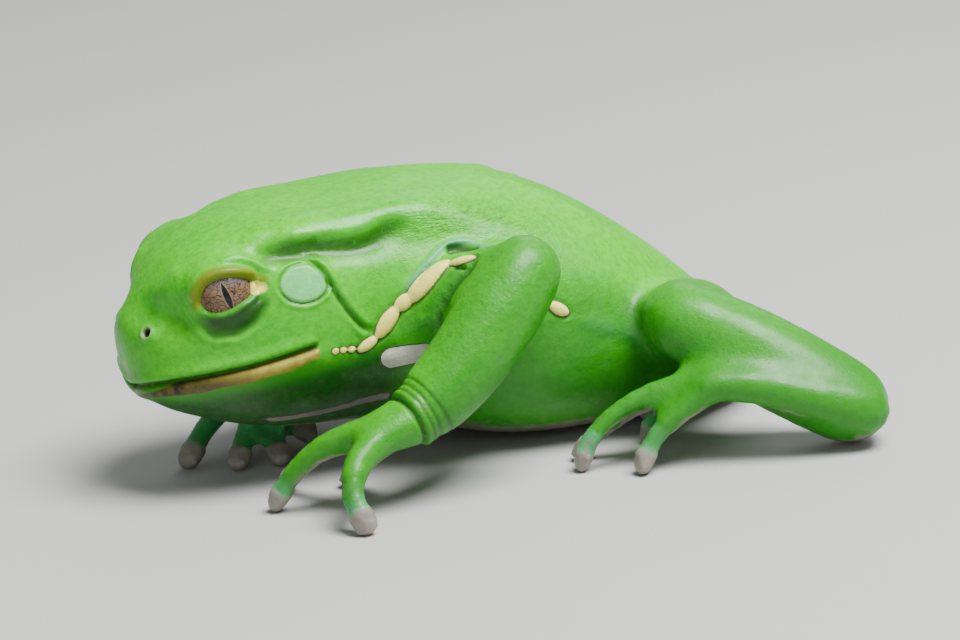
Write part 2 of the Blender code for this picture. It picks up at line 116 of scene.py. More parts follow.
# Paths of the folds and ridges of the head, neck, back and flank.
CROWN_FOLDS = (
    ((-42.4, 1.2, 25.8), (-40.7, 1.9, 27.1), (-38.5, 2.2, 28.1), (-36.4, 2.0, 28.8)),
    ((-38.9, 3.4, 27.9), (-36.0, 3.1, 28.8), (-33.2, 2.4, 29.3)),
)
PAROTOID = (-32.5, 8.6, 28.0), (-27.0, 9.2, 28.4), (-22.0, 9.3, 28.5), (-17.0, 9.5, 28.6), (-12.5, 9.9, 28.2)
PAROTOID_GROOVE = (
    (-35.6, 10.3, 26.5), (-33.9, 10.0, 26.3), (-31.0, 10.2, 26.3), (-27.7, 10.4, 26.4), (-24.4, 10.8, 25.7),
    (-22.0, 10.8, 25.8), (-20.0, 10.7, 26.6), (-18.1, 10.5, 27.3), (-16.0, 10.2, 27.8),
)
PAROTOID_EDGE = (
    (-33.0, 9.6, 27.4), (-29.0, 9.9, 27.5), (-25.0, 10.2, 27.1), (-22.0, 10.2, 27.2), (-19.5, 9.9, 28.0),
)
DORSAL_RIDGE = (
    (-8.0, 4.6, 29.6), (-5.5, 4.4, 28.9), (-1.8, 5.2, 27.4), (2.1, 6.2, 25.2),
    (4.6, 8.3, 22.9), (8.4, 10.0, 19.8), (12.5, 10.6, 15.5),
)
KNEE_FOLD = (
    (5.8, 17.2, 11.7), (5.6, 17.4, 12.8), (5.6, 17.0, 14.1),
    (6.1, 16.5, 15.2), (7.1, 16.1, 16.0), (8.4, 15.7, 16.5),
)
FLANK_FOLD = (-1.4, 16.6, 15.2), (1.3, 17.0, 14.1), (5.7, 17.0, 12.3), (10.5, 15.3, 10.4)
FLANK_HOLLOW = tuple((x + 0.1, y, z - 1.3) for x, y, z in FLANK_FOLD)
ARMPIT_SLIT = (
    (-14.2, 12.9, 24.1), (-13.3, 12.9, 24.0), (-12.6, 13.1, 23.9),
    (-11.9, 13.9, 24.0), (-11.2, 14.6, 24.1), (-10.6, 14.8, 24.1),
)
LOWER_SLIT = (-14.6, 15.7, 22.9), (-14.0, 16.7, 23.1), (-13.5, 17.7, 23.1)
ARMPIT_EDGE = (
    (-19.4, 13.3, 20.4), (-17.4, 13.5, 22.4), (-15.4, 13.0, 24.0), (-14.6, 12.8, 24.6), (-13.6, 12.5, 24.8),
    (-12.4, 12.6, 24.9), (-11.1, 13.0, 24.9), (-10.0, 14.4, 24.8), (-10.0, 16.5, 25.0),
)
ARM_FOLD = (
    (-11.8, 17.5, 24.2), (-13.4, 18.0, 23.0), (-15.1, 17.8, 21.4),
    (-16.1, 17.4, 20.0), (-16.9, 17.1, 17.9), (-18.0, 17.5, 15.5),
)
ARM_RIDGE = (-18.9, 14.6, 17.7), (-17.8, 15.7, 17.5), (-16.8, 17.0, 18.3)

# The eyes. Outlines and paths round the eye are given as x and z from its centre.
EYE_CENTRE = np.array((-37.7, 7.6, 22.7))
EYE_RADIUS = 3.9
EYE_BULGE = 0.14
MOUND_RADIUS = 4.6
LID_REACH = 6.6
EYE_OPENING = (
    (-3.9, -0.4), (-3.7, 0.6), (-3.0, 1.7), (-2.0, 2.3), (-0.9, 2.5), (0.6, 2.4), (1.7, 2.1),
    (2.6, 1.7), (2.7, 0.8), (2.4, -0.05), (0.9, -0.65), (-0.7, -1.35), (-2.1, -1.65), (-3.3, -1.45),
)
UPPER_LID = (
    (-4.15, -1.0), (-4.1, 0.5), (-3.5, 1.8), (-2.6, 2.8), (-1.6, 3.2), (0.3, 3.2), (2.3, 2.6), (3.8, 1.7),
    (4.0, 1.2), (2.4, 1.6), (0.6, 2.2), (-0.9, 2.3), (-2.0, 2.05), (-2.9, 1.5), (-3.6, 0.5), (-3.7, -0.9),
)
LOWER_LID = (
    (-3.4, -1.5), (-3.35, -2.6), (-2.6, -3.7), (-1.5, -3.9), (-0.2, -3.9), (1.1, -3.4), (2.2, -2.6),
    (3.1, -1.4), (3.5, -0.2), (2.5, 0.0), (0.9, -0.5), (-0.7, -1.2), (-2.1, -1.5),
)
EYE_CORNER_BEAD = (2.4, 1.4), (3.0, 1.4), (3.7, 1.1), (3.9, 0.6), (3.5, 0.05), (2.8, -0.1), (2.3, 0.2)
EYE_CORNER_RADIUS = 4.2
LOWER_LID_CREASE = (
    (-3.9, -1.2), (-3.8, -2.2), (-3.35, -3.2), (-2.5, -4.1), (-1.5, -4.15),
    (-0.2, -4.15), (1.1, -3.65), (2.3, -2.8), (3.3, -1.5), (4.0, -0.3),
)
BROW_CREST = (-1.5, 3.9), (0.9, 3.9), (2.7, 3.3), (4.1, 2.4), (5.0, 1.7)
# A section through the lids: places across the edge of the opening, and the radius of each there.
LID_PLACES = -0.8, -0.4, -0.18, -0.02, 0.12, 0.4
UPPER_LID_RADII = 4.72, 4.9, 4.8, 4.45, 3.7, 3.2
LOWER_LID_RADII = 4.66, 4.62, 4.5, 4.28, 3.7, 3.2
# Folds round the eye: path, steps, size, how far it is lowered, rise, width, fading ends, shade.
LID_FOLDS = (
    (LOWER_LID_CREASE, 40, 0.95, 0.0, -0.36, 0.5, 0.15, 0.55),
    (LOWER_LID_CREASE, 40, 1.13, 0.0, 0.14, 0.35, 0.2, 0.0),
    (BROW_CREST, 30, 1.0, 0.0, 0.34, 0.42, 0.3, 0.0),
    (BROW_CREST, 30, 0.9, 0.1, -0.12, 0.2, 0.3, 0.0),
)
LID_SHADE_WIDTH = 0.45

# Raised cream beads behind the mouth and on the flank: one end, the other end, half width.
BEADS = (
    ((-28.1, 13.4, 15.5), (-27.3, 13.4, 15.5), 0.38),
    ((-27.2, 13.4, 15.5), (-26.4, 13.4, 15.4), 0.36),
    ((-26.3, 13.4, 15.4), (-25.4, 13.4, 15.3), 0.38),
    ((-25.2, 13.4, 15.0), (-22.9, 13.5, 16.2), 0.62),
    ((-23.0, 13.7, 16.1), (-20.3, 13.9, 19.3), 0.90),
    ((-20.7, 13.9, 18.8), (-18.8, 14.1, 20.4), 0.85),
    ((-19.4, 14.0, 19.6), (-14.3, 14.8, 23.5), 1.12),
    ((-14.6, 15.2, 23.3), (-12.3, 17.2, 24.1), 0.55),
    ((-4.3, 16.5, 17.5), (-1.8, 16.7, 15.7), 0.80),
)
BEAD_HEIGHT = 0.62
# Bare mauve skin on the neck and along the throat: points along the middle, and the half width.
BARE_PATCHES = (
    (((-21.6, 13.7, 13.6), (-17.0, 14.4, 13.8)), 1.15),
    (((-34.3, 8.9, 7.9), (-28.0, 10.3, 8.2), (-22.0, 11.7, 9.0)), 0.55),
)

# The outer ends of the fingers and toes: the tip, then the last joint.
FINGER_ENDS = {
    "l": (
        ((-36.9, 16.3, 1.0), (-34.7, 18.1, 4.9)),
        ((-31.6, 30.0, 1.0), (-32.2, 28.2, 3.8)),
        ((-33.5, 9.8, 0.9), (-32.3, 12.8, 3.8)),
        ((-27.2, 12.6, 1.0), (-25.6, 16.6, 4.4)),
    ),
    "r": (
        ((-35.6, 0.4, 0.9), (-33.8, 3.4, 2.8)),
        ((-39.8, 4.9, 1.0), (-37.1, 7.5, 3.2)),
        ((-31.0, -0.6, 0.9), (-30.3, 2.2, 1.9)),
        ((-25.6, 4.8, 1.0), (-25.2, 8.2, 2.8)),
    ),
}
TOE_ENDS = (
    ((-4.4, 23.0, 0.9), (-4.0, 23.2, 2.6)),
    ((0.6, 28.0, 1.0), (2.0, 27.8, 3.4)),
    ((-3.0, 18.9, 0.9), (-0.4, 20.0, 3.4)),
    ((5.6, 17.6, 0.9), (6.2, 19.0, 3.2)),
    ((8.2, 14.2, 0.9), (9.0, 16.6, 3.2)),
)
DIGIT_REACH = 2.3
DISC_BULGE = 0.12
DISC_LENGTH = 1.3
DIGIT_CREASE_WIDTH = 0.26
# Creases of a digit: how far each is from the tip, and the depth.
DIGIT_CREASES = (2.1, 0.1), (2.7, 0.08), (3.3, 0.07)
FOREARM = {
    "l": (
        (-8.0, 20.0, 22.2), (-11.3, 21.0, 18.9), (-16.0, 22.0, 14.2),
        (-20.4, 22.4, 10.7), (-24.5, 22.9, 9.0),
    ),
    "r": (
        (-8.0, 20.0, 22.2), (-11.5, 20.4, 18.7), (-16.5, 19.8, 13.6),
        (-21.0, 18.2, 9.9), (-24.8, 15.2, 7.2),
    ),
}
FOREARM_REACH = 5.2
# Creases of a wrist: the share of the forearm's length from the elbow, and the depth.
WRIST_CREASES = (0.82, 0.06), (0.87, 0.1), (0.905, 0.16), (0.955, 0.5)
WRIST_CREASE_WIDTH = 0.011
WRIST_ROLL = 0.915
WRIST_ROLL_RISE = 0.3
WRIST_ROLL_WIDTH = 0.032

# Colours of the markings, and of painted shade. Pairs are mixed in patches.
# Deep green of the lower jaw, darkened further as painted shade under the head.
JAW_GREEN_AND_SHADE = 0.004, 0.06, 0.002, 1
LIMB_GREEN = 0.022, 0.24, 0.006, 1
MAUVE = (0.17, 0.15, 0.125, 1), (0.33, 0.30, 0.25, 1)
NECK_GREY = (0.36, 0.38, 0.31, 1), (0.56, 0.58, 0.47, 1)
# Grey of the throat strip, darkened as painted shade under the jaw.
THROAT_GREY_AND_SHADE = 0.16, 0.14, 0.13, 1
OUTLINE_BROWN = 0.05, 0.035, 0.03, 1
BEAD_CREAM = (0.80, 0.68, 0.12, 1), (1.0, 0.92, 0.24, 1)
EARDRUM_GREEN = (0.06, 0.42, 0.09, 1), (0.22, 0.72, 0.23, 1)
LIP_TIP_BROWN = 0.018, 0.014, 0.003, 1
LIP_FRONT_BROWN = 0.085, 0.065, 0.006, 1
LIP_CREAM = 0.36, 0.30, 0.038, 1
LIP_BLOTCH = 0.15, 0.11, 0.011, 1
LIP_EDGE = 0.07, 0.045, 0.006, 1
UPPER_LID_OLIVE = 0.15, 0.21, 0.0, 1
LOWER_LID_GREEN = 0.004, 0.028, 0.002, 1
EYE_CORNER_CREAM = 0.86, 0.73, 0.13, 1
NOSTRIL_RIM = 0.30, 0.38, 0.16, 1
# Painted shade inside the nostril holes.
NOSTRIL_HOLE_SHADE = 0.01, 0.012, 0.004, 1
# Painted shade in creases, folds, grooves, hollows and moats.
RECESS_SHADE_GREEN = 0.012, 0.035, 0.006, 1
PORE_GREEN = 0.03, 0.12, 0.01, 1
IRIS_BROWN = (0.08, 0.04, 0.018, 1), (0.27, 0.165, 0.085, 1)
# Painted shadow across the top of the iris.
IRIS_TOP_SHADOW = 0.13, 0.12, 0.13, 1
IRIS_NET = 0.018, 0.010, 0.006, 1
IRIS_RIM = 0.05, 0.04, 0.035, 1
PUPIL_EDGE = 0.22, 0.18, 0.13, 1
PUPIL_BLACK = 0.002, 0.002, 0.002, 1
SKY_COLOUR = 0.93, 0.97, 1.0, 1

# Lamps: name, place, size of the square, power in watts.
LAMPS = (
    ("key_light", (0.15, -0.22, 0.59), 0.34, 11.5),
    ("fill_light", (-0.45, -0.55, 0.28), 0.50, 0.9),
    ("back_light", (0.35, 0.50, 0.45), 0.40, 0.9),
)
LAMP_AIM = -0.008, 0, 0.014
CAMERA_BACK = -0.33037, -0.90767, 0.25882
CAMERA_RIGHT = 0.93969, -0.34202, 0.0
CAMERA_UP = 0.08852, 0.24321, 0.96593
CAMERA_ROLL = radians(5)
CAMERA_PLACE = -0.17794, -0.47199, 0.14675
CAMERA_LENS = 175.5
CAMERA_SENSOR = 36


# Strokes worked into the skin one after another, as Clay.work takes them.
CROWN_STROKES = [
    dict(points=path, steps=30, ends=0.4, rise=-0.12, width=0.3, shade=(0.3, 0.0, 0.25))
    for path in CROWN_FOLDS
]
BODY_STROKES = (
    dict(points=LOWER_SLIT, steps=16, ends=0.3, rise=-0.5, width=0.3, shade=(0.9, 0.05, 0.22)),
    dict(points=ARMPIT_EDGE, steps=30, ends=0.15, rise=0.4, width=0.45, cool=(1.0, 0.15, 0.35, 0.1)),
    dict(points=ARM_FOLD, steps=40, ends=0.2, rise=-0.6, width=0.45, shade=(0.85, 0.1, 0.35)),
    dict(points=ARM_RIDGE, steps=16, ends=0.3, rise=0.3, width=0.35),
    dict(
        points=PAROTOID_GROOVE, steps=40, ends=0.2, rise=-0.75, slack=0.15, width=0.9,
        shade=(0.85, 0.3, 0.75),
    ),
    dict(points=PAROTOID_EDGE, steps=30, ends=0.25, rise=0.4, width=0.9),
    dict(points=KNEE_FOLD, steps=30, ends=0.3, rise=-0.4, width=0.9, shade=(0.55, 0.3, 0.7)),
    dict(points=PAROTOID, steps=40, ends=0.15, rise=0.3, width=2.2, laid=False),
    dict(points=DORSAL_RIDGE, steps=50, ends=0.2, rise=0.5, width=1.1, laid=False, knobs=38),
    dict(
        points=FLANK_FOLD, steps=30, ends=0.25, rise=0.35, width=0.7, laid=False,
        cool=(0.2, 0.0, 0.8, 0.3),
    ),
    dict(points=FLANK_HOLLOW, steps=30, ends=0.25, rise=-0.3, width=0.4, laid=False),
)
ARMPIT_STROKE = dict(
    points=ARMPIT_SLIT, steps=30, ends=0.15, rise=-0.5, width=0.45, shade=(1.0, 0.45, 0.3)
)


def spline(rows, count):
    """A smooth curve through the rows at count even steps along it."""
    rows = np.array(rows, float)
    ends = np.vstack([2 * rows[0] - rows[1], rows, 2 * rows[-1] - rows[-2]])
    t = np.linspace(0, 1, 16, endpoint=False)[:, None]
    spans = []
    for a, b, c, d in zip(ends[:-3], ends[1:-2], ends[2:-1], ends[3:]):
        square = 2 * a - 5 * b + 4 * c - d
        cube = 3 * b - a - 3 * c + d
        spans.append(0.5 * (2 * b + (c - a) * t + square * t**2 + cube * t**3))
    dense = np.vstack([*spans, rows[-1:]])
    along = np.r_[0, np.cumsum(np.linalg.norm(np.diff(dense, axis=0), axis=1))]
    steps = np.linspace(0, along[-1], count)
    return np.stack([np.interp(steps, along, column) for column in dense.T], axis=1)


def distance(points, place):
    """How far each point is from one place."""
    return np.linalg.norm(points - place, axis=1)


def nearest(points, path):
    """The distance of each point to a path, and how far along the path it is from 0 to 1."""
    best = np.full(len(points), np.inf)
    along = np.zeros(len(points))
    lengths = np.r_[0, np.cumsum(np.linalg.norm(np.diff(path, axis=0), axis=1))]
    for i, (a, b) in enumerate(zip(path[:-1], path[1:])):
        span = b - a
        t = np.clip((points - a) @ span / (span @ span), 0, 1)
        away = np.linalg.norm(points - a - t[:, None] * span, axis=1)
        closer = away < best
        best[closer] = away[closer]
        along[closer] = lengths[i] + t[closer] * (lengths[i + 1] - lengths[i])
    return best, along / lengths[-1]


def inside(points, outline):
    """How far each flat point is inside a smooth closed outline, below zero outside it."""
    ring = spline(tuple(outline) + (outline[0],), 6 * len(outline))
    away, _ = nearest(points, ring)
    crossings = np.zeros(len(points), int)
    for (ax, ay), (bx, by) in zip(ring[:-1], ring[1:]):
        spans = (ay > points[:, 1]) != (by > points[:, 1])
        at = ax + (points[:, 1] - ay) * (bx - ax) / np.where(by == ay, 1e-9, by - ay)
        crossings += spans & (points[:, 0] < at)
    return np.where(crossings % 2 == 1, away, -away)


def smooth(x, low, high):
    """0 below low, 1 above high and a soft step between them."""
    t = np.clip((x - low) / (high - low), 0, 1)
    return t * t * (3 - 2 * t)


def bell(x, width):
    """1 at 0, falling off softly over width."""
    return np.exp(-((x / width) ** 2))


def fading(along, share):
    """1 along a path, falling to 0 towards both of its ends."""
    return smooth(along, 0, share) * (1 - smooth(along, 1 - share, 1))


def beside(away, slack, width):
    """1 within a slack of a path, falling off softly over width beyond it."""
    return bell(np.maximum(away - slack, 0), width)


def only(piece):
    """Makes a piece the one that is selected and active."""
    bpy.ops.object.select_all(action="DESELECT")
    piece.select_set(True)
    bpy.context.view_layer.objects.active = piece


def finish_with(piece, kind, **settings):
    """Adds a modifier to the active piece and applies it."""
    bpy.ops.object.modifier_add(type=kind)
    modifier = piece.modifiers[-1]
    for key, value in settings.items():
        setattr(modifier, key, value)
    bpy.ops.object.modifier_apply(modifier=modifier.name)


class Clay:
    """The points of a mesh in millimetres, to be worked by strokes of a hand's tool."""

    def __init__(self, piece):
        self.mesh = piece.data
        count = len(self.mesh.vertices)
        self.places = np.empty(count * 3)
        self.mesh.vertices.foreach_get("co", self.places)
        self.places = self.places.reshape(-1, 3) / MM
        self.dark = np.zeros(count)
        self.cool = np.zeros(count)
        self.turn()

    def turn(self):
        """Reads the directions that the surface faces, and each point's place on the +Y side."""
        facing = np.empty(len(self.places) * 3)
        self.mesh.vertex_normals.foreach_get("vector", facing)
        self.facing = facing.reshape(-1, 3)
        self.paired = self.places * (1, 0, 1) + np.abs(self.places) * (0, 1, 0)

    def write(self):
        self.mesh.vertices.foreach_set("co", (self.places * MM).ravel())
        self.mesh.update()
        self.turn()

    def push(self, amount):
        """Moves the surface out by an amount at each point, or in where it is below zero."""
        self.places += self.facing * amount[:, None]

    def shift(self, moves):
        """Moves the points by moves given for the +Y side, mirrored on the other side."""
        moves[:, 1] *= np.sign(self.places[:, 1])
        self.places += moves

    def shade(self, values):
        """Adds painted shade: darkens the points where the values are above their present shade."""
        self.dark = np.maximum(self.dark, values)

    def laid(self, rows, count):
        """A smooth curve through the rows, laid on the surface of the +Y side."""
        path = spline(rows, count)
        for i, point in enumerate(path):
            around = np.argpartition(distance(self.paired, point), 8)[:8]
            path[i] = self.paired[around].mean(axis=0)
        for _ in range(3):
            path[1:-1] = (path[:-2] + 2 * path[1:-1] + path[2:]) / 4
        return path

    def work(
        self, points, steps, ends, rise, width, slack=0.0, laid=True, knobs=0, shade=None, cool=None
    ):
        """Works a stroke into the surface, lifting it where its rise is positive, and colours it.

        The stroke has so many steps along its points, and is laid on the surface or left free.
        It fades over a share of its length at both ends, is flat within its slack and falls off
        over its width. Knobs makes its height wave. Shade is the strength, slack and width of
        its darkening, and cool those of its turquoise, with the share over which that fades.
        """
        trace = self.laid if laid else spline
        away, along = nearest(self.paired, trace(points, steps))
        amount = rise * beside(away, slack, width) * fading(along, ends)
        if knobs:
            amount *= 0.75 + 0.25 * np.sin(along * knobs)
        self.push(amount)
        if shade:
            strength, slack, width = shade
            self.shade(strength * beside(away, slack, width) * fading(along, ends))
        if cool:
            strength, slack, width, share = cool
            tint = strength * beside(away, slack, width) * fading(along, share)
            self.cool = np.maximum(self.cool, tint)

    def mark(self, name, values):
        """Keeps a value at each point, for the colours to read."""
        layer = self.mesh.attributes.new(name, "FLOAT", "POINT")
        layer.data.foreach_set("value", values.astype(np.float32))


def finer(skin, choose):
    """Divides the faces whose middles are chosen."""
    mesh = skin.data
    middles = np.empty(len(mesh.polygons) * 3)
    mesh.polygons.foreach_get("center", middles)
    middles = middles.reshape(-1, 3) / MM
    middles[:, 1] = np.abs(middles[:, 1])
    chosen = choose(middles)
    bpy.ops.object.mode_set(mode="EDIT")
    bpy.ops.mesh.select_mode(type="FACE")
    bpy.ops.mesh.select_all(action="DESELECT")
    bpy.ops.object.mode_set(mode="OBJECT")
    mesh.polygons.foreach_set("select", chosen)
    bpy.ops.object.mode_set(mode="EDIT")
    bpy.ops.mesh.subdivide(number_cuts=1, smoothness=0.0)
    bpy.ops.object.mode_set(mode="OBJECT")


def join_flesh():
    """Copies of the flesh solids as one mesh, rounded apart from its sharp edges."""
    bpy.ops.object.select_all(action="DESELECT")
    for name in FLESH:
        frame["nodes"][name].select_set(True)
    bpy.context.view_layer.objects.active = frame["nodes"]["torso"]
    bpy.ops.object.duplicate()
    bpy.ops.object.join()
    bpy.ops.object.parent_clear(type="CLEAR_KEEP_TRANSFORM")
    skin = bpy.context.view_layer.objects.active
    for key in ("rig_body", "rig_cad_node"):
        del skin[key]
    skin.name = skin.data.name = "frog_skin"
    skin.data.materials.clear()
    bpy.ops.object.mode_set(mode="EDIT")
    bpy.ops.mesh.select_all(action="SELECT")
    bpy.ops.mesh.remove_doubles(threshold=1e-6)
    bpy.ops.mesh.select_mode(type="EDGE")
    bpy.ops.mesh.select_all(action="DESELECT")
    bpy.ops.mesh.edges_select_sharp(sharpness=SHARP_EDGE)
    bpy.ops.transform.edge_crease(value=1)
    bpy.ops.object.mode_set(mode="OBJECT")
    finish_with(skin, "SUBSURF", levels=1, render_levels=1)
    return skin


def close_flesh(grain):
    """One closed skin over the flesh and the mounds of the eyes, with the joints filled."""
    skin = join_flesh()
    mounds = [skin]
    for side in SIDES.values():
        place = Vector(EYE_CENTRE * (1, side, 1)) * MM
        bpy.ops.mesh.primitive_uv_sphere_add(
            segments=64, ring_count=32, radius=MOUND_RADIUS * MM, location=place
        )
        mounds.append(bpy.context.object)
    only(skin)
    for mound in mounds:
        mound.select_set(True)
    bpy.ops.object.join()
    finish_with(skin, "DISPLACE", strength=SWELL * MM, mid_level=0)
    finish_with(skin, "REMESH", mode="VOXEL", voxel_size=grain, adaptivity=0)
    finish_with(skin, "DISPLACE", strength=-SHRINK * MM, mid_level=0)
    finish_with(skin, "SMOOTH", factor=0.5, iterations=5)
    return skin


def soften_joints(skin):
    """Smooths the skin where a limb leaves the body and where its parts meet."""
    clay = Clay(skin)
    near = np.zeros(len(clay.places))
    for places, reach in ((LIMB_ROOTS, LIMB_ROOT_REACH), (JOINTS, JOINT_REACH)):
        for place in places:
            away = distance(clay.paired, place)
            near = np.maximum(near, 1 - smooth(away, 0.5 * reach, reach))
    near = np.maximum(near, bell(clay.places[:, 0] - NECK_X, NECK_WIDTH))
    near = np.round(near, 1)
    group = skin.vertex_groups.new(name="joints")
    for level in np.unique(near):
        if level > 0:
            group.add(np.flatnonzero(near == level).tolist(), float(level), "REPLACE")
    finish_with(skin, "SMOOTH", factor=0.6, iterations=10, vertex_group="joints")
    skin.vertex_groups.clear()


def refine(skin):
    """Makes the mesh finer where the skin has detail: head, hands and feet, then small features."""
    beads = [np.array((start, end), float) for start, end, _ in BEADS]
    mouth = spline(MOUTH, 40)
    fold = spline(EAR_FOLD, 30)
    edge = spline(ARMPIT_EDGE, 20)
    wrist = np.array(FOREARM["l"][3:])
    ends = FINGER_ENDS["l"] + FINGER_ENDS["r"] + TOE_ENDS

    def near(at, path, reach):
        return nearest(at, path)[0] < reach

    def near_beads(at, reach):
        return np.any([near(at, bead, reach) for bead in beads], axis=0)

    def detailed(at):
        x, y, z = at.T
        low = (z < 9.5) & (y > 11.5) | (z < 7) & (x < -23)
        folds = near(at, fold, 1.5) | near(at, edge, 2.0)
        return (x < -27.5) | near_beads(at, 2.4) | low & (x < 12) | near(at, wrist, 5.5) | folds

    def fine(at):
        y = at[:, 1]
        eye = (distance(at, EYE_CENTRE) < 6.2) & (y > EYE_CENTRE[1] + 0.6)
        holes = (distance(at, NOSTRIL) < 1.5) | (distance(at, EARDRUM) < 3.4) | near(at, mouth, 0.9)
        folds = near(at, fold, 0.8) | near(at, edge, 1.3) | near(at, wrist, 4.6) & (y > 16)
        tips = np.any([distance(at, tip) < 1.7 for tip, _ in ends], axis=0)
        return eye | holes | folds | near_beads(at, 1.5) | tips

    for choose in (detailed, fine):
        finer(skin, choose)
        finish_with(skin, "SMOOTH", factor=0.5, iterations=2)


def carve_mouth(clay):
    """The mouth line, both lips and the small tuck at each corner."""
    path = spline(MOUTH, 60)
    away, along = nearest(clay.paired, path)
    line_z = np.interp(along, np.linspace(0, 1, len(path)), path[:, 2])
    height = clay.paired[:, 2] - line_z
    ends = 1 - smooth(along, 0.985, 1.0)
    near = (1 - smooth(away, 1.2, 1.8)) * ends
    clay.push(-MOUTH_DEPTH * bell(height, 0.26) * near)
    lips = UPPER_LIP_RISE * bell(height - 0.75, 0.55) + LOWER_LIP_RISE * bell(height + 0.9, 0.6)
    clay.push(lips * (away < 3) * ends)
    clay.shade(bell(height, 0.27) * near)
    clay.write()
    lowest = LIP_HEIGHT - 0.3 * smooth(along, 0.8, 1) + 0.09 * np.sin(along * 31)
    stripe = np.minimum(np.minimum(height + lowest, -0.12 - height), 1.4)
    stripe = np.where((away < 3.2) & (clay.paired[:, 0] < -29), stripe, -5)
    stripe -= 0.5 * smooth(-43.5 - clay.paired[:, 0], 0, 3)
    stripe = np.minimum(stripe, (LIP_REAR_X - clay.paired[:, 0]) * 0.9)
    clay.mark("lip", np.clip(stripe, -3, 3))
    tuck, _ = nearest(clay.paired, spline(MOUTH_TUCK, 16))
    clay.push(-0.25 * bell(tuck, 0.2))
    clay.shade(0.8 * bell(tuck, 0.16))


def carve_nostrils(clay):
    """Round holes with a raised rim."""
    away = distance(clay.paired, NOSTRIL)
    rim = 0.2 * bell(away - NOSTRIL_RIM_RADIUS, 0.24)
    clay.push(rim - NOSTRIL_DEPTH * (1 - smooth(away, 0.35, 0.65)))
    clay.mark("nostril", np.minimum(away, 6))
    clay.write()


def carve_eardrums(clay):
    """Shallow oval domes, each in a narrow moat with a raised rim."""
    facing = np.array(EARDRUM_FACING)
    facing /= np.linalg.norm(facing)
    q = clay.paired - EARDRUM
    long = np.array((1.0, 0, 0)) - facing * facing[0]
    long /= np.linalg.norm(long)
    tall = np.cross(long, facing)
    tall *= np.sign(tall[2])
    u, v, w = q @ long, q @ tall, q @ facing
    ring = np.hypot(u / EARDRUM_SIZE[0], v / EARDRUM_SIZE[1])
    drum = 1 - smooth(ring, 0.86, 1.0)
    around = (np.abs(w) < 3) & (ring < 2)
    level = np.median(w[(ring < 1) & around])
    lowered = (level - 0.05 + EARDRUM_DOME * (1 - ring**2) - w) * drum * around
    clay.shift(facing * lowered[:, None])
    clay.write()
    moat = bell(ring - 1.06, 0.07) * around
    rim = bell(ring - 1.24, 0.12) * around
    clay.push(0.14 * rim - 0.3 * moat * (0.55 + 0.45 * smooth(-v, -1, 1.5)))
    clay.shade(0.9 * moat * (0.35 + 0.65 * smooth(-v, -0.5, 1.5)))
    clay.mark("eardrum", np.where(around, (1 - ring) * 2.2, -5))
    clay.write()


def carve_head(clay):
    """The folds behind the eardrums and on the crown, the brow corners and the hollow cheeks."""
    fold, along = nearest(clay.paired, clay.laid(EAR_FOLD, 50))
    ends = fading(along, 0.12) * smooth(along, 0.12, 0.4)
    forward = clay.paired[:, 0] + 27 + 0.35 * (clay.paired[:, 2] - 22) > 0
    clay.push((-0.42 * bell(fold, 0.32) + 0.2 * bell(fold - 0.7, 0.45) * forward) * ends)
    clay.shade(0.8 * bell(fold, 0.3) * ends * smooth(along, 0.3, 0.6))
    for stroke in CROWN_STROKES:
        clay.work(**stroke)
    corner, _ = nearest(clay.paired, np.array(BROW_CORNER))
    hollow, along = nearest(clay.paired, spline(CHEEK_HOLLOW, 20))
    clay.push(0.2 * bell(corner, 1.0) - 0.5 * bell(hollow, 1.4) * fading(along, 0.3))
    clay.shade(0.24 * bell(hollow, 1.5) * fading(along, 0.3))
    clay.write()


def carve_eyes(clay):
    """Lids round the openings, the folds above and below them and the pale bead at the corner."""
    q = clay.paired - EYE_CENTRE
    radius = np.linalg.norm(q, axis=1)
    outer = smooth(q[:, 1], 0.4, 1.2) * (radius < LID_REACH)
    flat = q[:, [0, 2]]
    near = outer > 0

    def within(outline):
        depth = np.full(len(q), -9.0)
        depth[near] = inside(flat[near], outline)
        return depth

    opening = within(EYE_OPENING)
    corner = within(EYE_CORNER_BEAD)
    clay.mark("upper_lid", within(UPPER_LID))
    clay.mark("lower_lid", within(LOWER_LID))
    clay.mark("eye_corner", corner)
    lid_top = np.interp(opening, LID_PLACES, UPPER_LID_RADII)
    lid_low = np.interp(opening, LID_PLACES, LOWER_LID_RADII)
    above = smooth(flat[:, 1] - 0.12 * flat[:, 0], 0.2, 1.0)
    target = lid_low + (lid_top - lid_low) * above
    hold = smooth(opening, -1.1, -0.7) * outer
    wanted = radius + (target - radius) * hold
    bead = smooth(corner, -0.1, 0.25) * outer
    domed = EYE_CORNER_RADIUS + 0.14 * smooth(corner, 0, 0.4)
    wanted = np.where(near, wanted + (domed - wanted) * bead, wanted)
    radial = q / np.maximum(radius, 1e-6)[:, None]
    clay.shift(radial * (wanted - radius)[:, None])
    clay.write()
    for points, steps, size, lowered, rise, width, share, shade in LID_FOLDS:
        away, along = nearest(flat, spline(points, steps) * size - (0, lowered))
        ends = outer * fading(along, share)
        clay.push(rise * bell(away, width) * ends)
        clay.shade(shade * bell(away, LID_SHADE_WIDTH) * ends)
    clay.write()


def carve_body(clay):
    """The folds and ridges of the armpit, neck, back and flank."""
    for stroke in BODY_STROKES:
        clay.work(**stroke)
    clay.write()
    clay.work(**ARMPIT_STROKE)


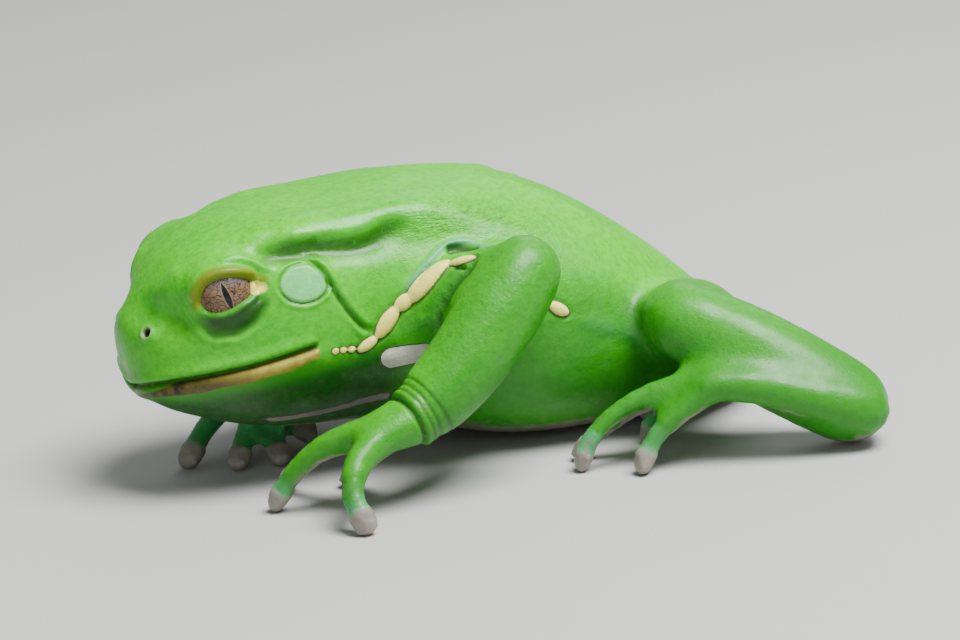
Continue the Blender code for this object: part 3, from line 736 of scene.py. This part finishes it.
def raise_beads(clay):
    """The cream beads, each a long dome in a narrow moat."""
    cream = np.full(len(clay.places), -5.0)
    lift = np.zeros(len(clay.places))
    moat = np.zeros(len(clay.places))
    for start, end, width in BEADS:
        start, end = np.array(start), np.array(end)
        length = np.linalg.norm(end - start)
        axis = (end - start) / length
        q = clay.paired - (start + end) / 2
        u = q @ axis / (length / 2)
        v = np.linalg.norm(q - np.outer(q @ axis, axis), axis=1) / width
        ring = np.hypot(u, v)
        cream = np.maximum(cream, np.clip((1 - ring) * width, -5, 5))
        lift = np.maximum(lift, BEAD_HEIGHT * width * np.sqrt(np.clip(1 - ring**2, 0, 1)))
        moat = np.maximum(moat, bell(ring - 1.14, 0.12))
    clay.push(lift - 0.2 * moat * (lift <= 0))
    clay.mark("cream", cream)
    clay.write()


def bare_patches(clay):
    """Raises the bare patches of the neck and throat a little above their edges."""
    bare = np.full(len(clay.places), -5.0)
    for path, width in BARE_PATCHES:
        away, _ = nearest(clay.paired, np.array(path, float))
        bare = np.maximum(bare, width - away)
    clay.push(0.2 * smooth(bare, 0, 0.6) - 0.15 * bell(bare + 0.1, 0.15))
    clay.mark("bare", np.clip(bare, -5, 5))
    clay.write()


def carve_wrist(clay, side, sign, here):
    """Creases round the wrist of the side that is here, and the roll of skin between them."""
    away, along = nearest(clay.places * (1, sign, 1), spline(FOREARM[side], 60))
    local = (away < FOREARM_REACH) & here
    for place, depth in WRIST_CREASES:
        ring = bell(along - place, WRIST_CREASE_WIDTH) * local
        clay.push(-depth * ring)
        clay.shade(0.8 * ring)
    clay.push(WRIST_ROLL_RISE * bell(along - WRIST_ROLL, WRIST_ROLL_WIDTH) * local)
    clay.write()


def carve_limbs(clay):
    """Creases at the wrists and near the digit tips, and small discs. Returns how near a tip is."""
    tips = np.full(len(clay.places), 20.0)
    for side, sign in SIDES.items():
        here = clay.places[:, 1] * sign > -2
        carve_wrist(clay, side, sign, here)
        mirrored = clay.places * (1, sign, 1)
        for tip, joint in FINGER_ENDS[side] + TOE_ENDS:
            path = np.array((tip, joint), float)
            away, along = nearest(mirrored, path)
            reach = along * np.linalg.norm(path[1] - path[0])
            local = (away < DIGIT_REACH) & here
            tips[local] = np.minimum(tips[local], reach[local] + np.maximum(away[local] - 1.6, 0))
            clay.push(DISC_BULGE * bell(reach - DISC_LENGTH, 0.7) * local)
            for place, depth in DIGIT_CREASES:
                ring = bell(reach - place, DIGIT_CREASE_WIDTH) * local
                clay.push(-depth * ring)
                clay.shade(3.5 * depth * ring)
        clay.write()
    clay.places[:, 2] = np.maximum(clay.places[:, 2], 0)
    clay.write()
    return tips


def add_marks(clay, tips):
    """Values for the colours: shaded creases, mauve, turquoise, the underside and rough patches."""
    x, y, z = clay.paired.T
    down = -clay.facing[:, 2]
    under = smooth(down, 0.7, 0.95) * smooth(7 - z, 0, 2)
    feet = (y > 17.5) & (x < 10)
    hands = (y > 14.5) & (x < -20) | (x < -25) & (z < 6)
    sole = smooth(down, 0.2, 0.7) * smooth(7.5 - z, 0, 2.5) * (feet | hands)
    clay.mark("mauve", np.maximum.reduce([1 - smooth(tips, 0.8, 2.5), under * 0.9, sole * 0.8]))
    # Painted light on the frog's own turquoise: the far hand under the chin, in shade, is tinted a paler
    # turquoise than the near hand.
    far_hand_painted_light = smooth(6.8 - z, 0, 0.8) * (x < -22) * (clay.places[:, 1] > -3)
    digits = 1 - smooth(tips, 1.8, 3.9)
    clay.mark("cool", np.maximum.reduce([clay.cool, digits * 0.65, 0.55 * far_hand_painted_light]))
    clay.mark("side", 1 - smooth(clay.facing[:, 2], 0.0, 0.8))
    # Painted shade gathered from the creases, folds, grooves, hollows and moats.
    clay.mark("recess_shade", np.clip(clay.dark, 0, 1))
    shoulder = (clay.paired - (-9.5, 10.5, 26.0)) / (6.0, 4.5, 4.0)
    edge, _ = nearest(clay.paired, clay.laid(ARMPIT_EDGE, 30))
    rough = bell(np.linalg.norm(shoulder, axis=1), 1.0) * smooth(edge, 0.6, 2.0)
    clay.mark("rough", rough)
    # The lower jaw below the mouth line, which takes a deep green darkened by painted shade.
    jaw = smooth(12.9 - z + 0.15 * (x + 46), -0.6, 3.2) * smooth(-17 - x, 0, 6) * smooth(z, 5, 6.5)
    clay.mark("jaw", jaw * (1 - smooth(y, 13.9, 14.3)))
    limb = smooth(y, 14.2, 16.8) * smooth(x, -23, -19)
    clay.mark("limb", limb)
    arm = limb * (1 - smooth(x, -4, 2))
    clay.mark("arm", arm)
    clay.mark("pebbled", np.clip(0.25 + 0.25 * arm + 0.75 * rough, 0, 1))
    crown, _ = nearest(clay.paired, spline(PAROTOID, 30))
    clay.mark("parotoid", np.clip(1 - smooth(crown, 1.5, 4.5), 0, 1))


class Nodes:
    """Short ways to build a material."""

    def __init__(self, name):
        self.material = bpy.data.materials.new(name)
        self.material.use_nodes = True
        self.tree = self.material.node_tree
        self.shader = self.tree.nodes["Principled BSDF"]

    def fill(self, socket, value):
        """Links a socket to another one, or sets it to a constant."""
        if isinstance(value, bpy.types.NodeSocket):
            self.tree.links.new(value, socket)
        else:
            socket.default_value = value

    def add(self, kind, values=(), **settings):
        node = self.tree.nodes.new(kind)
        for key, value in settings.items():
            setattr(node, key, value)
        for key, value in dict(values).items():
            self.fill(node.inputs[key], value)
        return node

    def set(self, **sockets):
        for key, value in sockets.items():
            self.fill(self.shader.inputs[key.replace("_", " ")], value)

    def value(self, name):
        return self.add("ShaderNodeAttribute", attribute_name=name).outputs["Fac"]

    def math(self, operation, a, b=0.0):
        return self.add("ShaderNodeMath", {0: a, 1: b}, operation=operation).outputs[0]

    def times(self, a, b):
        return self.math("MULTIPLY", a, b)

    def step(self, x, low, high, bottom=0.0, top=1.0):
        """A soft step from bottom where x is low to top where x is high."""
        values = {0: x, 1: low, 2: high, 3: bottom, 4: top}
        return self.add("ShaderNodeMapRange", values, interpolation_type="SMOOTHSTEP").outputs[0]

    def mix(self, factor, a, b):
        return self.add("ShaderNodeMix", {0: factor, 6: a, 7: b}, data_type="RGBA").outputs[2]

    def noise(self, place, scale, detail=3.0, roughness=0.5, distortion=0.0, output="Fac"):
        values = {"Vector": place, "Scale": scale, "Detail": detail}
        values |= {"Roughness": roughness, "Distortion": distortion}
        return self.add("ShaderNodeTexNoise", values).outputs[output]

    def cells(self, place, scale, feature="F1"):
        values = {"Vector": place, "Scale": scale}
        return self.add("ShaderNodeTexVoronoi", values, feature=feature).outputs["Distance"]

    def bump(self, height, distance, strength, under=None):
        values = {"Height": height, "Distance": distance, "Strength": strength}
        if under:
            values["Normal"] = under
        return self.add("ShaderNodeBump", values).outputs["Normal"]

    def object_place(self):
        return self.add("ShaderNodeTexCoord").outputs["Object"]

    def parts(self, vector):
        return self.add("ShaderNodeSeparateXYZ", {0: vector}).outputs


def green_ground(n, place, settings):
    """Greens that go from the back to the flanks, jaw and limbs, with turquoise edges and painted shade low
    on the body and under the jaw.
    """
    patches = n.step(n.noise(place, 90), 0.35, 0.65)
    side = n.math("ADD", n.times(patches, 0.4), n.times(n.value("side"), 0.6))
    colour = n.mix(side, tuple(settings.back_colour), tuple(settings.flank_colour))
    # Painted shade: the green darkens towards a deep green low on the body, from 17 mm down to 8 mm above
    # the floor.
    low = n.step(n.parts(place)[2], 0.017, 0.008)
    colour = n.mix(n.times(low, 0.65), colour, tuple(settings.painted_shade_and_speckle_colour))
    # Under the jaw: a deep green with painted shade.
    colour = n.mix(n.value("jaw"), colour, JAW_GREEN_AND_SHADE)
    colour = n.mix(n.times(n.value("limb"), 0.75), colour, LIMB_GREEN)
    fine = n.noise(place, 1400, roughness=0.6)
    # Fine random speckles of the same deep green.
    colour = n.mix(n.step(fine, 0.35, 0.7, 0.0, 0.35), colour, tuple(settings.painted_shade_and_speckle_colour))
    cool = n.times(n.value("cool"), n.step(n.noise(place, 300), 0.3, 0.6, 0.6, 1.0))
    return n.mix(cool, colour, tuple(settings.cool_colour))


def pale_marks(n, place, colour):
    """Mauve digits and soles, bare patches and beads with dark outlines, and the eardrums."""
    uneven = n.step(n.noise(place, 900), 0.3, 0.7, -0.25, 0.25)
    mauve = n.step(n.math("ADD", n.value("mauve"), uneven), 0.15, 0.85)
    colour = n.mix(mauve, colour, n.mix(n.noise(place, 700), *MAUVE))
    bare_skin = n.mix(n.noise(place, 700), *NECK_GREY)
    # Low under the jaw the bare strip takes a darker grey: its own grey with painted shade.
    bare_skin = n.mix(n.step(n.parts(place)[2], 0.0125, 0.0105), bare_skin, THROAT_GREY_AND_SHADE)
    bare = n.value("bare")
    colour = n.mix(n.step(bare, -0.03, 0.05), colour, bare_skin)
    bare_edge = n.times(n.step(bare, -0.16, -0.08), n.step(bare, 0.04, -0.02))
    colour = n.mix(bare_edge, colour, OUTLINE_BROWN)
    cream = n.value("cream")
    colour = n.mix(n.step(cream, -0.15, -0.08, 0.0, 0.75), colour, OUTLINE_BROWN)
    bead = n.mix(n.noise(place, 1100, detail=4), *BEAD_CREAM)
    colour = n.mix(n.step(cream, -0.03, 0.06), colour, bead)
    drum = n.mix(n.noise(place, 900, detail=4), *EARDRUM_GREEN)
    return n.mix(n.step(n.value("eardrum"), -0.06, 0.10), colour, drum)


def lip_stripe(n, place, colour):
    """The pale stripe along the lower lip, brown in front and cream behind."""
    lip = n.value("lip")
    x = n.parts(place)[0]
    stripe = n.mix(n.step(x, -0.0440, -0.0405), LIP_TIP_BROWN, LIP_FRONT_BROWN)
    stripe = n.mix(n.step(x, -0.0410, -0.0340), stripe, LIP_CREAM)
    blotches = n.step(n.noise(place, 800), 0.45, 0.65, 0.0, 0.5)
    stripe = n.mix(blotches, stripe, LIP_BLOTCH)
    stripe = n.mix(n.step(lip, 0.30, 0.0, 0.0, 0.35), stripe, LIP_EDGE)
    return n.mix(n.times(n.step(lip, -0.10, 0.12), n.step(x, -0.0474, -0.0462)), colour, stripe)


def face_marks(n, colour):
    """The lids, the bead at the corner of the eye, the nostril rims with painted shade in their holes, and
    painted shade in the creases.
    """
    colour = n.mix(n.step(n.value("upper_lid"), -0.30, 0.25), colour, UPPER_LID_OLIVE)
    lower = n.step(n.value("lower_lid"), -0.5, 0.8)
    colour = n.mix(n.times(lower, 0.9), colour, LOWER_LID_GREEN)
    colour = n.mix(n.step(n.value("eye_corner"), -0.10, 0.08), colour, EYE_CORNER_CREAM)
    nose = n.value("nostril")
    colour = n.mix(n.step(nose, 1.0, 0.7, 0.0, 0.55), colour, NOSTRIL_RIM)
    # Painted shade inside the nostril holes.
    colour = n.mix(n.step(nose, 0.68, 0.50), colour, NOSTRIL_HOLE_SHADE)
    # Painted shade in the creases, folds and hollows.
    return n.mix(n.times(n.value("recess_shade"), 0.85), colour, RECESS_SHADE_GREEN)


def skin_relief(n, place, pore):
    """Grain, lumps on the arms, wrinkles on the shoulders and pores."""
    grain = n.times(n.cells(place, 2400), n.times(n.value("pebbled"), -1.0))
    normal = n.bump(grain, 0.00012, 0.7)
    normal = n.bump(n.times(n.cells(place, 5200), -1.0), 0.00003, 0.7, normal)
    normal = n.bump(n.noise(place, 700), 0.00012, 0.5, normal)
    lumps = n.times(n.noise(place, 420, detail=2), n.value("arm"))
    normal = n.bump(lumps, 0.0003, 0.7, normal)
    turned = {"Vector": place, "Scale": (1, 1, 2.6), "Rotation": (0, radians(-28), 0)}
    wrinkled = n.add("ShaderNodeMapping", turned).outputs[0]
    ripples = n.noise(wrinkled, 1300, detail=2, distortion=0.4)
    normal = n.bump(n.times(ripples, n.value("rough")), 0.0009, 0.9, normal)
    return n.bump(n.times(pore, -1.0), 0.00008, 0.6, normal)


def waxy_skin(settings):
    """Green, waxy skin with its markings."""
    n = Nodes("waxy_skin")
    place = n.object_place()
    colour = green_ground(n, place, settings)
    colour = pale_marks(n, place, colour)
    colour = lip_stripe(n, place, colour)
    colour = face_marks(n, colour)
    pore = n.times(n.step(n.cells(place, 900), 0.16, 0.08), n.step(n.noise(place, 420), 0.5, 0.62))
    porous = n.math("MAXIMUM", n.value("parotoid"), n.times(n.value("limb"), 0.5))
    colour = n.mix(n.times(pore, porous), colour, PORE_GREEN)
    dull = n.step(n.noise(place, 500), 0.3, 0.7, 0.40, 0.56)
    roughness = n.math("SUBTRACT", dull, n.times(n.value("parotoid"), 0.12))
    n.set(Base_Color=colour, Normal=skin_relief(n, place, pore), Roughness=roughness)
    n.set(Subsurface_Weight=0.22, Subsurface_Radius=(0.5, 1.0, 0.25), Subsurface_Scale=0.0011)
    n.set(Specular_IOR_Level=0.25, Coat_Weight=0.2, Coat_Roughness=0.22)
    return n.material


def marbled_eye():
    """A grey-brown iris with a fine dark net and a painted shadow across its top, and an upright slit of a
    pupil with a pale edge.
    """
    n = Nodes("marbled_eye")
    spot = n.add("ShaderNodeUVMap", uv_map="gaze").outputs[0]
    parts = n.parts(spot)
    u = n.times(n.math("SUBTRACT", parts[0], 0.5), 10.0)
    v = n.times(n.math("SUBTRACT", parts[1], 0.5), 10.0)
    narrowing = n.math("POWER", n.math("ABSOLUTE", n.times(v, 0.66)), 2.0)
    half_width = n.math("SUBTRACT", 0.33, n.times(narrowing, 0.33))
    leaning = n.math("ADD", u, n.times(v, 0.30))
    gap = n.math("SUBTRACT", half_width, n.math("ABSOLUTE", leaning))
    swirl = n.noise(spot, 9.0, output="Color")
    bent = n.add("ShaderNodeMix", {0: 0.14, 4: spot, 5: swirl}, data_type="VECTOR").outputs[1]
    net = n.cells(bent, 19.0, feature="DISTANCE_TO_EDGE")
    colour = n.mix(n.noise(spot, 8, detail=4), *IRIS_BROWN)
    # Painted shadow across the top of the iris.
    colour = n.mix(n.step(v, 0.4, 2.2), colour, IRIS_TOP_SHADOW)
    colour = n.mix(n.step(net, 0.09, 0.0), colour, IRIS_NET)
    colour = n.mix(n.step(n.math("ABSOLUTE", u), 2.6, 3.8), colour, IRIS_RIM)
    colour = n.mix(n.times(n.step(gap, -0.17, -0.09), 0.7), colour, PUPIL_EDGE)
    colour = n.mix(n.step(gap, -0.05, 0.02), colour, PUPIL_BLACK)
    n.set(Base_Color=colour, Normal=n.bump(n.step(net, 0.10, 0.0), 0.00003, 0.5))
    n.set(Roughness=0.5, Specular_IOR_Level=0.2)
    n.set(Coat_Weight=0.7, Coat_Roughness=0.03, Coat_IOR=1.33)
    n.set(Subsurface_Weight=0.08, Subsurface_Radius=(1.0, 0.7, 0.5), Subsurface_Scale=0.0006)
    return n.material


def pale_floor(settings):
    """Matt, slightly uneven studio floor."""
    n = Nodes("pale_floor")
    place = n.object_place()
    darker = tuple(c * 0.96 for c in settings.floor_colour[:3]) + (1,)
    n.set(Base_Color=n.mix(n.noise(place, 6, detail=4), tuple(settings.floor_colour), darker))
    n.set(Roughness=0.6, Normal=n.bump(n.noise(place, 900, detail=2), 0.00005, 0.2))
    return n.material


class FrogSkinSettings(bpy.types.PropertyGroup):
    grain: bpy.props.FloatProperty(
        name="Grain", description="Size of the skin's larger faces",
        default=0.82 * MM, min=0.4 * MM, unit="LENGTH",
    )
    back_colour: bpy.props.FloatVectorProperty(
        name="Back", description="Yellow green of the back",
        default=(0.09, 0.56, 0.002, 1), size=4, subtype="COLOR", min=0, max=1,
    )
    flank_colour: bpy.props.FloatVectorProperty(
        name="Flank", description="Plain green of the sides and between the yellow patches",
        default=(0.032, 0.42, 0.003, 1), size=4, subtype="COLOR", min=0, max=1,
    )
    # Painted shade low on the body, and the colour of the fine random speckles.
    painted_shade_and_speckle_colour: bpy.props.FloatVectorProperty(
        name="Low green", description="Deep green low on the sides",
        default=(0.012, 0.15, 0.004, 1), size=4, subtype="COLOR", min=0, max=1,
    )
    cool_colour: bpy.props.FloatVectorProperty(
        name="Fold edges", description="Turquoise on folds and near the digit tips",
        default=(0.08, 0.44, 0.19, 1), size=4, subtype="COLOR", min=0, max=1,
    )


class FrogEyeSettings(bpy.types.PropertyGroup):
    radius: bpy.props.FloatProperty(
        name="Radius", description="Radius of each eyeball", default=EYE_RADIUS * MM, unit="LENGTH"
    )
    bulge: bpy.props.FloatProperty(
        name="Bulge", description="How far the clear front stands out of the ball",
        default=EYE_BULGE * MM, unit="LENGTH",
    )


class FrogStudioSettings(bpy.types.PropertyGroup):
    floor_colour: bpy.props.FloatVectorProperty(
        name="Floor", description="Colour of the floor",
        default=(0.49, 0.485, 0.47, 1), size=4, subtype="COLOR", min=0, max=1,
    )
    floor_size: bpy.props.FloatProperty(
        name="Floor radius", description="Radius of the round floor", default=2.2, unit="LENGTH"
    )
    sky: bpy.props.FloatProperty(
        name="Sky", description="Strength of the even light all round", default=0.24, min=0
    )


class FROG_OT_skin(bpy.types.Operator):
    """Build the frog's skin over the flesh solids"""

    bl_idname = "frog.skin"
    bl_label = "Skin"

    def execute(self, context):
        settings = context.scene.frog_skin
        skin = close_flesh(settings.grain)
        soften_joints(skin)
        refine(skin)
        clay = Clay(skin)
        carve_mouth(clay)
        carve_nostrils(clay)
        carve_eardrums(clay)
        carve_head(clay)
        carve_eyes(clay)
        carve_body(clay)
        raise_beads(clay)
        bare_patches(clay)
        add_marks(clay, carve_limbs(clay))
        only(skin)
        bpy.ops.object.shade_smooth()
        skin.data.materials.append(waxy_skin(settings))
        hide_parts(*FLESH)
        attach(skin, "root")
        return {"FINISHED"}


class FROG_OT_eyes(bpy.types.Operator):
    """Build both eyeballs"""

    bl_idname = "frog.eyes"
    bl_label = "Eyes"

    def execute(self, context):
        settings = context.scene.frog_eyes
        finish = marbled_eye()
        for side, sign in SIDES.items():
            gaze = Vector((-0.20, sign * 0.97, 0.06)).normalized()
            centre = Vector(EYE_CENTRE * (1, sign, 1)) * MM
            turn = gaze.to_track_quat("Z", "Y").to_euler()
            bpy.ops.object.select_all(action="DESELECT")
            bpy.ops.mesh.primitive_uv_sphere_add(
                segments=96, ring_count=48, radius=settings.radius, location=centre, rotation=turn
            )
            ball = bpy.context.object
            ball.name = ball.data.name = f"eyeball_{side}"
            bpy.ops.object.transform_apply(location=True, rotation=True, scale=True)
            self.shape(ball, np.array(gaze), np.array(centre) / MM, settings.bulge / MM, sign)
            bpy.ops.object.shade_smooth()
            ball.data.materials.append(finish)
            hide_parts(f"eye_{side}")
            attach(ball, "root")
        return {"FINISHED"}

    def shape(self, ball, gaze, centre, bulge, sign):
        """Bulges the clear front and lays the UV map that the iris is drawn on."""
        clay = Clay(ball)
        q = clay.places - centre
        out = q / np.linalg.norm(q, axis=1)[:, None]
        clay.places += out * (bulge * smooth(out @ gaze, 0.62, 0.95))[:, None]
        clay.write()
        right = np.cross((0, 0, 1), gaze)
        right = right / np.linalg.norm(right) * -sign
        above = np.cross(gaze, right)
        above *= np.sign(above[2])
        layer = ball.data.uv_layers.new(name="gaze")
        corners = np.empty(len(ball.data.loops), int)
        ball.data.loops.foreach_get("vertex_index", corners)
        flat = np.stack([q @ right, q @ above], axis=1)[corners] / 10 + 0.5
        layer.data.foreach_set("uv", flat.ravel())


class FROG_OT_studio(bpy.types.Operator):
    """Lay the floor, hang the lamps and set the camera"""

    bl_idname = "frog.studio"
    bl_label = "Studio"

    def execute(self, context):
        settings = context.scene.frog_studio
        bpy.ops.object.select_all(action="DESELECT")
        bpy.ops.mesh.primitive_circle_add(vertices=128, radius=settings.floor_size, fill_type="NGON")
        floor = bpy.context.object
        floor.name = "studio_floor"
        floor.data.materials.append(pale_floor(settings))
        world = bpy.data.worlds.new("studio_sky")
        world.use_nodes = True
        sky = world.node_tree.nodes["Background"].inputs
        sky["Color"].default_value = SKY_COLOUR
        sky["Strength"].default_value = settings.sky
        context.scene.world = world
        for name, location, size, power in LAMPS:
            aim = (Vector(LAMP_AIM) - Vector(location)).to_track_quat("-Z", "Y").to_euler()
            bpy.ops.object.light_add(type="AREA", location=location, rotation=aim)
            lamp = bpy.context.object
            lamp.name = name
            lamp.data.size = size
            lamp.data.energy = power
        self.set_camera(context.scene)
        return {"FINISHED"}

    def set_camera(self, scene):
        bpy.ops.object.camera_add(location=CAMERA_PLACE)
        camera = bpy.context.object
        camera.name = "photo_view"
        right, up, back = Vector(CAMERA_RIGHT), Vector(CAMERA_UP), Vector(CAMERA_BACK)
        turn = Matrix.Rotation(CAMERA_ROLL, 3, back).inverted()
        axes = Matrix((turn @ right, turn @ up, back)).transposed()
        camera.matrix_world = Matrix.Translation(CAMERA_PLACE) @ axes.to_4x4()
        camera.data.lens = CAMERA_LENS
        camera.data.sensor_width = CAMERA_SENSOR
        camera.data.clip_start = 0.01
        scene.camera = camera


class FROG_PT_panel(bpy.types.Panel):
    """The frog's pieces"""

    bl_label = "Frog"
    bl_idname = "FROG_PT_panel"
    bl_space_type = "VIEW_3D"
    bl_region_type = "UI"
    bl_category = "Frog"

    def draw(self, context):
        groups = (
            (FROG_OT_skin, context.scene.frog_skin),
            (FROG_OT_eyes, context.scene.frog_eyes),
            (FROG_OT_studio, context.scene.frog_studio),
        )
        for operator, settings in groups:
            box = self.layout.box()
            for name in settings.bl_rna.properties.keys():
                if name not in ("rna_type", "name"):
                    box.prop(settings, name)
            box.operator(operator.bl_idname)


SETTINGS = FrogSkinSettings, FrogEyeSettings, FrogStudioSettings
OPERATORS = FROG_OT_skin, FROG_OT_eyes, FROG_OT_studio
CLASSES = SETTINGS + OPERATORS + (FROG_PT_panel,)


def register():
    for cls in CLASSES:
        bpy.utils.register_class(cls)
    bpy.types.Scene.frog_skin = bpy.props.PointerProperty(type=FrogSkinSettings)
    bpy.types.Scene.frog_eyes = bpy.props.PointerProperty(type=FrogEyeSettings)
    bpy.types.Scene.frog_studio = bpy.props.PointerProperty(type=FrogStudioSettings)


def unregister():
    del bpy.types.Scene.frog_studio
    del bpy.types.Scene.frog_eyes
    del bpy.types.Scene.frog_skin
    for cls in reversed(CLASSES):
        bpy.utils.unregister_class(cls)


def main():
    register()
    bpy.ops.frog.skin()
    bpy.ops.frog.eyes()
    bpy.ops.frog.studio()


if __name__ == "__main__":
    main()
